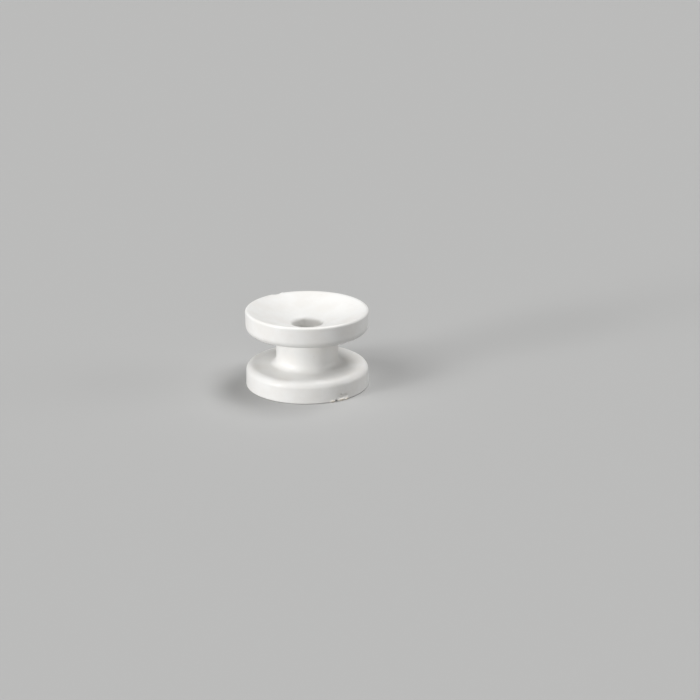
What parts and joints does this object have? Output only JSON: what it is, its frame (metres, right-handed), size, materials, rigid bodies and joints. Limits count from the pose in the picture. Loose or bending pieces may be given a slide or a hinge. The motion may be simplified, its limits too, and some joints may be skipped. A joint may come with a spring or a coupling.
{
  "type": "fence corner insulator",
  "caption": "White porcelain spool with dished flanges, a rounded wire groove round its waist and a plain bore, which carries a fence wire round a corner post.",
  "frame": {"origin": "middle of the spool: on the bore's axis, half way between the two faces, at the middle of the wire groove", "axes": "+Z along the bore, which is also the axis the spool is round about; the two ends are alike, and the lower one carries it when it stands"},
  "size_m": [0.057, 0.057, 0.0362],
  "materials": {
    "porcelain": "satin"
  },
  "bodies": {
    "root": {"insulator": "porcelain"}
  },
  "joints": []
}
